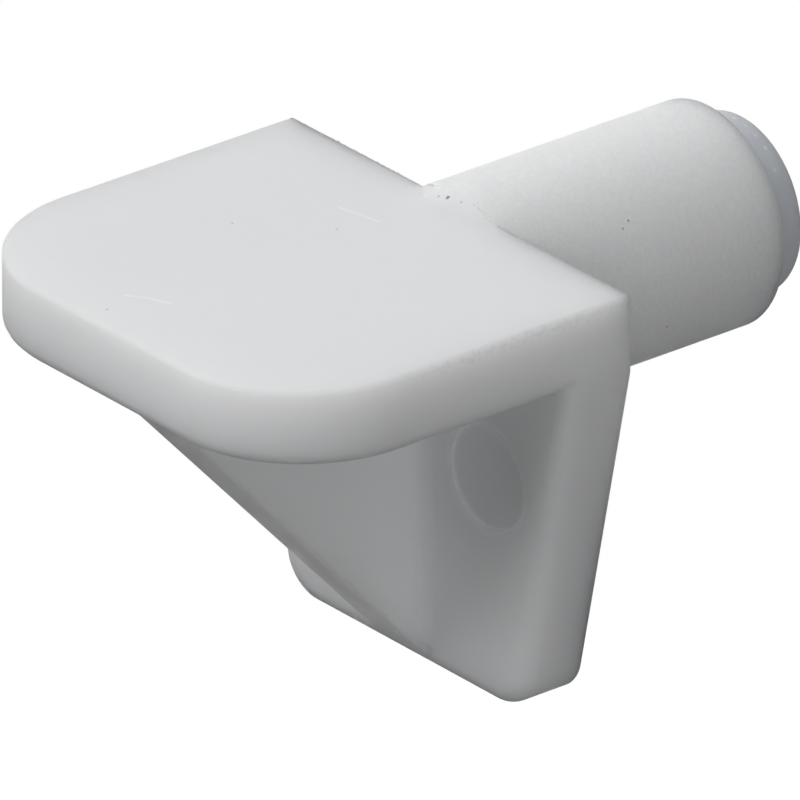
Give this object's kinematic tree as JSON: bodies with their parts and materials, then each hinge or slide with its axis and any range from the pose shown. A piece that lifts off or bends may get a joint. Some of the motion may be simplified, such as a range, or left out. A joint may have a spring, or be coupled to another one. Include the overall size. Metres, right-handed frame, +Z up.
{
  "type": "shelf support pin",
  "caption": "One-piece moulded shelf support: flat seat, tapering heel with a gusset, and a round peg with a stepped nose that pushes into a drilled hole.",
  "frame": {"origin": "on the peg's centre line, in the plane of the wall that the heel bears on", "axes": "+Y along the peg into the wall, +Z up towards the shelf, X across the support; the room and the seat's round front lie at -Y"},
  "size_m": [0.0112, 0.017, 0.0102],
  "materials": {
    "moulded_plastic": "white moulded plastic, satin and faintly translucent, with fine spark-eroded grain on the peg"
  },
  "bodies": {
    "root": {"shelf_support": "moulded_plastic"}
  },
  "joints": []
}
